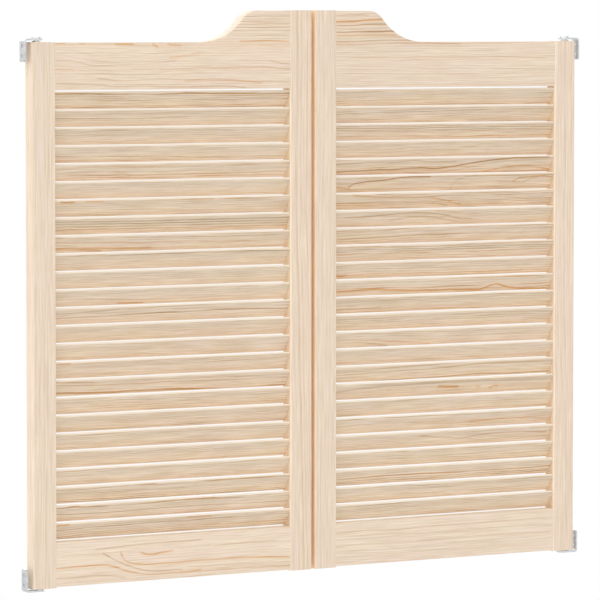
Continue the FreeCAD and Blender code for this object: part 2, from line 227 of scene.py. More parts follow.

# Painted light that multiplies the wood's colour: warm bounce light on a stile's sides in the seam, shade
# on its sides in the louvre pockets, a highlight on its rounded edges, and shade to light across a slat's
# front
SEAM_PAINTED_BOUNCE_LIGHT = (1.12, 1.02, 0.86, 1)
POCKET_PAINTED_SHADE = (0.97, 0.93, 0.845, 1)
EDGE_PAINTED_HIGHLIGHT = (1.09, 1.11, 1.12, 1)
HIGH_EDGE_PAINTED_SHADE = (0.875, 0.880, 0.862, 1)
LOW_EDGE_PAINTED_LIGHT = (1.075, 1.115, 1.12, 1)

# Where a board's edges begin and end, in millimetres from its middle: a stile's side, its rounded edge
# across and in depth, a rail's rim in depth, a slat's front from its high edge to its low one, and its
# ridge across and in depth
STILE_SIDE = (17.5, 17.98)
ROUNDED_ACROSS = (15.5, 16.2)
ROUNDED_DEPTH = (8.9, 9.6)
RIM_DEPTH = (9.7, 10.3)
FRONT_ACROSS = (10.0, -11.0)
FRONT_DEPTH = (-1.0, 1.0)
RIDGE_ACROSS = (12.7, 13.5)
RIDGE_DEPTH = (0.8, 2.0)

# Distances from the middle of the pair at which a stile's side meets the other leaf, or the jamb
MEETING_SIDE = (0.006, 0.012)
JAMB_SIDE = (0.430, 0.440)

# Growth lines: how far their courses reach along a board and up or down, the scale of their width, how
# far they take to fade in or out, and how much a steep course may widen them
COURSE_REACH = 190.0
COURSE_SPAN = 320.0
COURSE_WIDTH = 10.0
LINE_FADE = 3.0
MOST_WIDENING = 5.0


def growth_rings():
    """Growth rings of a sawn board, in millimetres: X along the grain, Y across the face, Z out of it.

    Heart is where the pith runs (X: where it starts to dive under the face, Y, Z), Grain is the ring
    spacing, the strength of the lines and how fast the pith dives.
    """
    tree, given, result = new_group(
        "growth rings",
        (("Position", "Vector"), ("Heart", "Vector"), ("Grain", "Vector"), ("Seed", "Float"),
         ("Wander", "Float")),
        (("Line", "Float"), ("Tint", "Float"), ("Early wood", "Float")),
    )
    w = Wiring(tree)
    seed = given["Seed"]
    shift = w.join(*(w.math("MULTIPLY", seed, stride) for stride in (37.1, 11.3, 5.7)))

    def noise(scale, extra=0.0):
        place = w.vector("ADD", w.vector("MULTIPLY", given["Position"], scale), shift)
        return w.noise(w.vector("ADD", place, (extra, extra, extra)))

    # Distance from the pith, bent by slow and quick waves
    slow = w.centred(noise((0.005, 0.025, 0.025)), given["Wander"])
    quick = w.centred(noise((0.03, 0.12, 0.12), 3.0), 2.0)
    along, across, depth = w.split(given["Position"])
    start, heart_across, heart_depth = w.split(given["Heart"])
    spacing, strength, dive = w.split(given["Grain"])
    sideways = w.math("SUBTRACT", across, heart_across)
    sideways = w.math("ADD", w.math("ADD", sideways, slow), quick)
    dip = w.math("MULTIPLY", w.math("MINIMUM", w.math("SUBTRACT", along, start), 0.0), dive)
    under = w.math("ADD", w.math("SUBTRACT", depth, heart_depth), dip)
    radius = w.math("SQRT", w.math("ADD", w.math("MULTIPLY", sideways, sideways),
                                   w.math("MULTIPLY", under, under)))

    # Rings of uneven width, each dark towards its outer side
    count = w.math("DIVIDE", radius, spacing)
    uneven = w.noise(w.join(w.math("MULTIPLY", count, 0.37), seed, 0.0), 1.0)
    count = w.math("ADD", count, w.centred(uneven, 1.5))
    ring = w.math("FLOOR", count)
    part = w.math("FRACT", count)
    late = w.math("MULTIPLY", w.ramp(part, 0.40, 0.86), w.ramp(part, 0.90, 1.0, 1.0, 0.0))

    # Some years are darker than others, and lines come and go along the board
    year = w.node("ShaderNodeTexWhiteNoise", {"noise_dimensions": "2D"},
                  Vector=w.join(ring, w.math("MULTIPLY", seed, 19.1), 0.0)).outputs
    weight = w.math("ADD", w.math("MULTIPLY", w.math("POWER", year["Value"], 1.7), 1.1), 0.10)
    fade = w.ramp(noise((0.012, 0.10, 0.10), 9.0), 0.33, 0.60, 0.25, 1.0)
    line = w.math("MULTIPLY", w.math("MULTIPLY", late, weight), w.math("MULTIPLY", fade, strength))
    w.feed(result["Line"], w.math("MINIMUM", line, 1.0))
    w.feed(result["Tint"], w.split(year["Color"])[1])
    w.feed(result["Early wood"], w.ramp(part, 0.0, 0.5, 1.0, 0.0))
    return tree


def wood_fibre():
    """Fine fibres and short resin flecks along X, and slow patches and streaks, all from 0 to 1."""
    tree, given, result = new_group(
        "wood fibre",
        (("Position", "Vector"), ("Seed", "Float")),
        (("Fibre", "Float"), ("Fleck", "Float"), ("Patch", "Float"), ("Streak", "Float")),
    )
    w = Wiring(tree)
    shift = w.join(w.math("MULTIPLY", given["Seed"], 13.7), given["Seed"], given["Seed"])

    # Output, noise scale along, across and out of the board, detail, place in the noise, and its ramp
    for name, scale, detail, extra, low, high in (
        ("Fibre", (0.02, 0.65, 0.65), 3.0, 0.0, 0.30, 0.70),
        ("Fleck", (0.07, 1.8, 1.8), 1.0, 5.0, 0.64, 0.78),
        ("Patch", (0.012, 0.05, 0.05), 2.0, 11.0, 0.32, 0.68),
        ("Streak", (0.008, 0.32, 0.32), 2.0, 17.0, 0.30, 0.70),
    ):
        place = w.vector("ADD", w.vector("MULTIPLY", given["Position"], scale), shift)
        place = w.vector("ADD", place, (extra, extra, extra))
        w.feed(result[name], w.ramp(w.noise(place, detail, 0.6), low, high))
    return tree


def growth_line():
    """One dark line with a soft wash on its lower side.

    Course gives the line's height, strength and half width at this place along the board.
    """
    tree, given, result = new_group(
        "growth line",
        (("Across", "Float"), ("Course", "Vector"), ("Fray", "Float")),
        (("Line", "Float"), ("Wash", "Float")),
    )
    w = Wiring(tree)
    height, strength, width = w.split(given["Course"])
    offset = w.math("SUBTRACT", w.math("MULTIPLY", height, COURSE_SPAN), given["Across"])
    offset = w.math("DIVIDE", offset, w.math("MULTIPLY", width, COURSE_WIDTH))
    frayed = w.math("ADD", w.math("MULTIPLY", given["Fray"], 0.8), 0.6)
    strength = w.math("MULTIPLY", strength, frayed)
    line = w.ramp(w.math("ABSOLUTE", offset), 0.10, 1.45, 1.3, 0.0)
    wash = w.math("MULTIPLY", w.ramp(offset, -0.5, 0.3), w.ramp(offset, 0.3, 4.0, 1.0, 0.0))
    w.feed(result["Line"], w.math("MULTIPLY", line, strength, clamp=True))
    w.feed(result["Wash"], w.math("MULTIPLY", wash, strength, clamp=True))
    return tree


RINGS = growth_rings()
FIBRE = wood_fibre()
LINE = growth_line()


def lay_curve(curve, points):
    for index, place in enumerate(points):
        if index < 2:
            curve.points[index].location = place
        else:
            curve.points.new(*place)
    for point in curve.points:
        point.handle_type = "AUTO_CLAMPED"


def lay_course(mapping, strength, width, route):
    """Sets the three curves that give a line's height, strength and half width along the board."""
    first, last = route[0][0], route[-1][0]
    rise, fall = first + LINE_FADE, last - LINE_FADE
    force = [(rise, strength), (fall, strength)] if rise < fall else [((first + last) / 2, strength)]
    force = [(first - LINE_FADE, 0.0), *force, (last + LINE_FADE, 0.0)]
    breadth = []
    for before, here, after in zip((route[0], *route), route, (*route[1:], route[-1])):
        slope = (after[1] - before[1]) / (after[0] - before[0])
        widening = min(math.hypot(1.0, slope), MOST_WIDENING)
        breadth.append((here[0] / COURSE_REACH, width * widening / COURSE_WIDTH))
    lay_curve(mapping.curves[0], [(x / COURSE_REACH, y / COURSE_SPAN) for x, y in route])
    lay_curve(mapping.curves[1], [(x / COURSE_REACH, y) for x, y in force])
    lay_curve(mapping.curves[2], breadth)
    mapping.update()


def figure(w, along, across, fray, drawn):
    """The dark lines of one board's figure as masks: grey, brown and orange cores and their wash."""
    place = w.math("DIVIDE", along, COURSE_REACH)
    place = w.join(place, place, place)
    masks = {"wash": 0.0, "grey": 0.0, "brown": 0.0, "orange": 0.0}
    for kind, strength, width, *route in drawn:
        course = w.node("ShaderNodeVectorCurve", Vector=place)
        course.mapping.extend = "HORIZONTAL"
        lay_course(course.mapping, strength, width, route)
        line = w.node("ShaderNodeGroup", {"node_tree": LINE}, Across=across, Course=course.outputs[0],
                      Fray=fray).outputs
        masks[kind] = w.math("MAXIMUM", masks[kind], line["Line"])
        if kind != "grey":
            masks["wash"] = w.math("MAXIMUM", masks["wash"], line["Wash"])
    return masks


def add_figure(w, wood, where, place, streak, drawn, panel_centre):
    """Draws the lines on the wood, in the board's own millimetres or in those of the whole panel."""
    along, across, _ = w.split(place)
    if panel_centre is not None:
        x, _, z = w.split(w.vector("SUBTRACT", where, panel_centre))
        along, across = w.math("DIVIDE", x, MM), w.math("DIVIDE", z, MM)
    wobble = w.noise(w.vector("MULTIPLY", place, (0.05, 0.05, 0.05)))
    across = w.math("ADD", across, w.centred(wobble, 1.6))
    masks = figure(w, along, across, streak, drawn)
    wood = w.mix(w.math("MULTIPLY", masks["wash"], 0.6), wood, WASH)
    for kind, tint in LINE_TINTS.items():
        wood = w.mix(masks[kind], wood, tint)
    return wood


def finish_stile(w, wood, where, across, depth):
    """Painted light: warm bounce light on the sides in the seam, shade in the louvre pockets, highlights on
    the edges.
    """
    x = w.math("ABSOLUTE", w.split(where)[0])
    off_jamb = w.ramp(x, *JAMB_SIDE, 1.0, 0.0)
    off_meeting = w.ramp(x, *MEETING_SIDE)
    across = w.math("ABSOLUTE", across)
    side = w.math("MULTIPLY", w.ramp(across, *STILE_SIDE), off_jamb)
    # Painted warm bounce light on the sides in the seam between the leaves, painted shade on the sides in
    # the louvre pockets
    shade = w.mix(off_meeting, SEAM_PAINTED_BOUNCE_LIGHT, POCKET_PAINTED_SHADE)
    wood = w.mix(side, wood, shade, "MULTIPLY")
    # Painted highlight on the rounded edges beside the panel
    painted_edge_highlight = w.math("MULTIPLY", w.ramp(across, *ROUNDED_ACROSS),
                    w.ramp(w.math("ABSOLUTE", depth), *ROUNDED_DEPTH))
    painted_edge_highlight = w.math("MULTIPLY", painted_edge_highlight, w.math("MULTIPLY", off_jamb, off_meeting))
    return w.mix(painted_edge_highlight, wood, EDGE_PAINTED_HIGHLIGHT, "MULTIPLY")


def finish_rail(w, wood, depth):
    """Painted light: the rail's edge faces all round, its top among them, paler than its front and back."""
    # Painted light on the rail's edge faces
    rim = w.ramp(w.math("ABSOLUTE", depth), *RIM_DEPTH, 0.6, 0.0)
    return w.mix(rim, wood, RAIL_RIM_PAINTED_LIGHT)


def finish_slat(w, wood, across, depth):
    """Painted light on a slat: shade at the high edge of its front, bounce light towards the low one, and a
    highlight along the high edge.
    """
    # Painted shade at the front's high edge, easing to painted bounce light at its low edge
    painted_shade_to_light = w.mix(w.ramp(across, *FRONT_ACROSS), HIGH_EDGE_PAINTED_SHADE, LOW_EDGE_PAINTED_LIGHT)
    wood = w.mix(w.ramp(depth, *FRONT_DEPTH), wood, painted_shade_to_light, "MULTIPLY")
    # Painted highlight along the slat's high edge
    ridge = w.math("MULTIPLY", w.ramp(across, *RIDGE_ACROSS), w.ramp(depth, *RIDGE_DEPTH, 1.0, 0.0))
    return w.mix(ridge, wood, SLAT_RIDGE_HIGHLIGHT)


def pine(name, kind, drawn=(), panel_centre=None):
    """Bare planed pine for a stile, rail or slat.

    Drawn lines follow the board, or the whole louvred panel where its centre is given.
    """
    material, w, shader = new_material(name)
    where = w.node("ShaderNodeTexCoord").outputs["Object"]
    turned = w.node("ShaderNodeMapping", Vector=w.vector("SUBTRACT", where, w.attribute("centre")))
    turned.inputs["Rotation"].default_value = TURNS[kind]
    turned.inputs["Scale"].default_value = (1 / MM, 1 / MM, 1 / MM)
    place = turned.outputs[0]
    _, across, depth = w.split(place)
    seed, tone, warmth = w.split(w.attribute("board"))
    growth = w.node("ShaderNodeGroup", {"node_tree": RINGS}, Position=place, Heart=w.attribute("heart"),
                    Grain=w.attribute("grain"), Seed=seed, Wander=WANDER[kind]).outputs
    threads = w.node("ShaderNodeGroup", {"node_tree": FIBRE}, Position=place, Seed=seed).outputs

    wood = w.mix(threads["Patch"], CLEAR_WOOD, CREAM_WOOD)
    wood = w.mix(w.math("MULTIPLY", threads["Streak"], 0.45), wood, STREAK_WOOD)
    wood = w.mix(w.math("MULTIPLY", growth["Early wood"], 0.30), wood, EARLY_WOOD)
    wood = w.mix(w.math("MULTIPLY", warmth, threads["Patch"]), wood, WARM_WOOD)
    wood = w.mix(growth["Line"], wood, w.mix(growth["Tint"], LATE_BROWN, LATE_ORANGE))
    if drawn:
        wood = add_figure(w, wood, where, place, threads["Streak"], drawn, panel_centre)
    thread = w.math("SUBTRACT", threads["Fibre"], w.math("MULTIPLY", threads["Fleck"], 0.5))
    wood = w.mix(1.0, wood, w.mix(thread, *FIBRE_RANGE[kind]), "MULTIPLY")
    level = w.math("ADD", tone, 1.0)
    wood = w.mix(1.0, wood, w.join(level, level, level), "MULTIPLY")
    # Painted light and shade, different for each kind of board
    if kind == "stile":
        wood = finish_stile(w, wood, where, across, depth)
    elif kind == "rail":
        wood = finish_rail(w, wood, depth)
    else:
        wood = finish_slat(w, wood, across, depth)
    w.feed(shader.inputs["Base Color"], wood)

    rough = w.math("ADD", w.math("MULTIPLY", threads["Fibre"], 0.14), 0.52)
    rough = w.math("SUBTRACT", rough, w.math("MULTIPLY", growth["Line"], 0.08))
    w.feed(shader.inputs["Roughness"], rough)
    shader.inputs["Specular IOR Level"].default_value = 0.30
    relief = w.math("ADD", w.math("MULTIPLY", threads["Fibre"], 0.3),
                    w.math("MULTIPLY", growth["Line"], 0.6))
    w.feed(shader.inputs["Normal"], w.bump(relief, 0.35, 0.08 * MM))
    return material


# ---------------------------------------------------------------- hardware

def zinc_plate():
    """Bright zinc plating: pale, slightly blue, with soft spangles and fine scuffs."""
    material, w, shader = new_material("zinc plating")
    where = w.node("ShaderNodeTexCoord").outputs["Object"]
    cloud = w.noise(where, 4.0, scale=160.0)
    scuff = w.noise(w.vector("MULTIPLY", where, (1.0, 9.0, 1.0)), 3.0, scale=420.0)
    spangle = w.node("ShaderNodeTexVoronoi", Vector=where, Scale=700.0).outputs["Distance"]
    tone = w.mix(w.ramp(cloud, 0.35, 0.65), colour(200, 203, 206), colour(219, 221, 222))
    tone = w.mix(w.math("MULTIPLY", w.ramp(spangle, 0.2, 0.6), 0.25), tone, colour(186, 190, 195))
    w.feed(shader.inputs["Base Color"], tone)
    shader.inputs["Metallic"].default_value = 1.0
    rough = w.math("ADD", w.math("MULTIPLY", cloud, 0.20), w.math("MULTIPLY", scuff, 0.16))
    w.feed(shader.inputs["Roughness"], w.math("ADD", rough, 0.16))
    w.feed(shader.inputs["Normal"], w.bump(scuff, 0.25, 0.03 * MM))
    return material


def spring_steel():
    """Drawn spring wire: dark oiled steel with draw marks along its length."""
    material, w, shader = new_material("spring steel")
    where = w.node("ShaderNodeTexCoord").outputs["Object"]
    draw = w.noise(w.vector("MULTIPLY", where, (60.0, 60.0, 1.0)), 3.0, scale=60.0)
    w.feed(shader.inputs["Base Color"], w.mix(draw, colour(96, 97, 100), colour(132, 131, 129)))
    shader.inputs["Metallic"].default_value = 1.0
    w.feed(shader.inputs["Roughness"], w.math("ADD", w.math("MULTIPLY", draw, 0.25), 0.22))
    w.feed(shader.inputs["Normal"], w.bump(draw, 0.2, 0.02 * MM))
    return material


def moulded_nylon():
    """Natural nylon: milky white with the faint mottle and fine texture of a moulding."""
    material, w, shader = new_material("moulded nylon")
    where = w.node("ShaderNodeTexCoord").outputs["Object"]
    mottle = w.ramp(w.noise(where, 3.0, scale=90.0), 0.3, 0.7)
    pebble = w.noise(where, scale=2600.0)
    w.feed(shader.inputs["Base Color"], w.mix(mottle, colour(226, 222, 210), colour(236, 233, 224)))
    w.feed(shader.inputs["Roughness"], w.math("ADD", w.math("MULTIPLY", pebble, 0.15), 0.36))
    shader.inputs["Subsurface Weight"].default_value = 0.15
    shader.inputs["Subsurface Scale"].default_value = 1.0 * MM
    w.feed(shader.inputs["Normal"], w.bump(pebble, 0.15, 0.02 * MM))
    return material


# ---------------------------------------------------------------- boards

def middle(low, high):
    return (low + high) / 2


def round_off(bm, edges, radius, segments):
    bmesh.ops.bevel(bm, geom=edges, offset=radius, offset_type="OFFSET", affect="EDGES",
                    segments=segments, profile=0.5, material=-1, clamp_overlap=True)


def mark(bm, centre, heart, grain, board):
    """Writes one board's grain on all its corners, for the pine to read."""
    values = {"centre": centre, "heart": heart, "grain": grain, "board": board}
    for name, value in values.items():
        layer = bm.verts.layers.float_vector.new(name)
        for vert in bm.verts:
            vert[layer] = Vector(value)


def straight_board(size, edge_radius, edge_steps, end_radius=0.0):
    """A board along X about the origin, its long edges rounded and its ends eased."""
    bm = bmesh.new()
    bmesh.ops.create_cube(bm, size=1.0, matrix=Matrix.Diagonal((*size, 1.0)))
    half = size[0] / 2
    long_edges = [e for e in bm.edges if abs(e.verts[0].co.x - e.verts[1].co.x) > half]
    round_off(bm, long_edges, edge_radius, edge_steps)
    if end_radius:
        rims = [e for e in bm.edges if min(abs(v.co.x) for v in e.verts) > half - SAME_PLACE]
        round_off(bm, rims, end_radius, EASE_STEPS)
    return bm


def crowned_board(length, foot, shoulder, crown, thickness, level):
    """The left top rail seen from the front: low shoulder at X = 0, S-curve, level crown at X = length."""
    bm = bmesh.new()
    towards_viewer = Vector((0, -1, 0))
    crest_x = length - level
    corner = bm.verts.new((crest_x, 0, crown))
    crest = bmesh.ops.spin(bm, geom=[corner], cent=(crest_x, 0, crown - CREST_RADIUS), axis=towards_viewer,
                           angle=SWEEP_ANGLE, steps=CREST_STEPS, use_duplicate=False)
    crest_end = crest["geom_last"][0]
    drop = FOOT_RADIUS * (1 - math.cos(SWEEP_ANGLE))
    fall = crest_end.co.z - (shoulder + drop)
    run = fall / math.tan(SWEEP_ANGLE)
    foot_end = bm.verts.new(crest_end.co - Vector((run, 0, fall)))
    bm.edges.new((crest_end, foot_end))
    foot_x = foot_end.co.x - FOOT_RADIUS * math.sin(SWEEP_ANGLE)
    sweep = bmesh.ops.spin(bm, geom=[foot_end], cent=(foot_x, 0, shoulder + FOOT_RADIUS),
                           axis=towards_viewer, angle=-SWEEP_ANGLE, steps=FOOT_STEPS, use_duplicate=False)
    corners = ((0, 0, shoulder), (0, 0, foot), (length, 0, foot), (length, 0, crown))
    ring = [sweep["geom_last"][0], *(bm.verts.new(place) for place in corners), corner]
    for first, second in zip(ring, ring[1:]):
        bm.edges.new((first, second))
    bmesh.ops.contextual_create(bm, geom=list(bm.edges))
    bmesh.ops.translate(bm, verts=bm.verts, vec=(0, -thickness / 2, 0))
    grown = bmesh.ops.extrude_face_region(bm, geom=list(bm.faces))
    moved = [item for item in grown["geom"] if isinstance(item, bmesh.types.BMVert)]
    bmesh.ops.translate(bm, verts=moved, vec=(0, thickness, 0))
    bmesh.ops.recalc_face_normals(bm, faces=bm.faces)
    return bm


def into_mesh(name, bm):
    mesh = bpy.data.meshes.new(name)
    bm.to_mesh(mesh)
    bm.free()
    return mesh


def add_object(name, data):
    made = bpy.data.objects.new(name, data)
    bpy.context.scene.collection.objects.link(made)
    return made


def piece(name, bm, material, side, node):
    """Makes one finished piece of a leaf from its mesh; it stands for the frame's plain node."""
    mesh = into_mesh(name, bm)
    made = add_object(name, mesh)
    mesh.materials.append(material)
    mesh.shade_smooth()
    mesh.set_sharp_from_angle(angle=SHARP_ANGLE)
    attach(made, f"{side}_leaf")
    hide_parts(node)


def build_stile(side, kind, material, grain):
    node = f"{side}_{kind}_stile"
    low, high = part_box(node)
    size = high - low
    bm = straight_board((size.z, size.y, size.x), STILE_ROUND, ROUND_STEPS, STILE_END_EASE)
    stand_up = Matrix.Rotation(-math.pi / 2, 3, "Y")
    bmesh.ops.rotate(bm, verts=bm.verts, cent=(0, 0, 0), matrix=stand_up)
    bmesh.ops.translate(bm, verts=bm.verts, vec=middle(low, high))
    mark(bm, middle(low, high), **grain)
    piece(f"{node}_board", bm, material, side, node)


def rail_span(side):
    """Where a leaf's rails start and end along X, tucked in between its stiles."""
    outer_low, outer_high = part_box(f"{side}_outer_stile")
    inner_low, inner_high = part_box(f"{side}_inner_stile")
    if side == "left":
        return outer_high.x - RAIL_TUCK, inner_low.x + RAIL_TUCK
    return inner_high.x - RAIL_TUCK, outer_low.x + RAIL_TUCK


def build_top_rail(side, material, grain):
    node = f"{side}_top_rail"
    low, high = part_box(node)
    start, end = rail_span(side)
    inner_low, inner_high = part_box(f"{side}_inner_stile")
    level = CROWN_LEVEL - (inner_high.x - inner_low.x) + RAIL_TUCK
    bm = crowned_board(end - start, low.z, low.z + SHOULDER_HEIGHT, high.z, high.y - low.y, level)
    if side == "right":
        bmesh.ops.scale(bm, verts=bm.verts, vec=(-1, 1, 1))
        bmesh.ops.translate(bm, verts=bm.verts, vec=(end - start, 0, 0))
        bmesh.ops.recalc_face_normals(bm, faces=bm.faces)
    bmesh.ops.translate(bm, verts=bm.verts, vec=(start, 0, 0))

    def is_rim(edge):
        on_face = abs(abs(middle(edge.verts[0].co, edge.verts[1].co).y) - high.y) < SAME_PLACE
        at_end = any(max(abs(v.co.x - x) for v in edge.verts) <= SAME_PLACE for x in (start, end))
        return on_face and not at_end

    round_off(bm, [e for e in bm.edges if is_rim(e)], RAIL_EASE, EASE_STEPS)
    centre = Vector((middle(start, end), 0, middle(low.z, low.z + SHOULDER_HEIGHT)))
    mark(bm, centre, **grain)
    piece(f"{node}_board", bm, material, side, node)


def build_bottom_rail(side, material, grain):
    node = f"{side}_bottom_rail"
    low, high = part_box(node)
    start, end = rail_span(side)
    bm = straight_board((end - start, high.y - low.y, high.z - low.z), RAIL_EASE, EASE_STEPS)
    centre = Vector((middle(start, end), 0, middle(low.z, high.z)))
    bmesh.ops.translate(bm, verts=bm.verts, vec=centre)
    mark(bm, centre, **grain)
    piece(f"{node}_board", bm, material, side, node)


def build_slats(side, bank, material, grains, dice):
    """One bank of louvres; each differs from the next by the little that hand fitting leaves."""
    node = f"{side}_slats_{bank}"
    low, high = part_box(node)
    pitch = (high.z - low.z - SLAT_RISE) / (SLATS_IN_BANK - 1)
    bm = bmesh.new()
    for index in range(SLATS_IN_BANK):
        centre = Vector((middle(low.x, high.x), 0, low.z + SLAT_RISE / 2 + index * pitch))
        slat = straight_board((high.x - low.x, SLAT_THICKNESS, SLAT_WIDTH), SLAT_ROUND, ROUND_STEPS)
        lean = SLAT_LEAN + math.radians(dice.uniform(-LEAN_PLAY_DEGREES, LEAN_PLAY_DEGREES))
        lift = dice.uniform(-HEIGHT_PLAY_MM, HEIGHT_PLAY_MM) * MM
        bmesh.ops.rotate(slat, verts=slat.verts, cent=(0, 0, 0), matrix=Matrix.Rotation(lean, 3, "X"))
        bmesh.ops.translate(slat, verts=slat.verts, vec=centre + Vector((0, 0, lift)))
        mark(slat, centre, **grains[(bank - 1) * SLATS_IN_BANK + index])
        single = into_mesh("slat", slat)
        bm.from_mesh(single)
        bpy.data.meshes.remove(single)
    piece(f"{side}_slat_boards_{bank}", bm, material, side, node)


# ---------------------------------------------------------------- the doors

# Middle of each louvred panel, from which its drawn lines are measured
PANEL_CENTRES = {"left": (-0.22625, 0, 0.380), "right": (0.22625, 0, 0.380)}

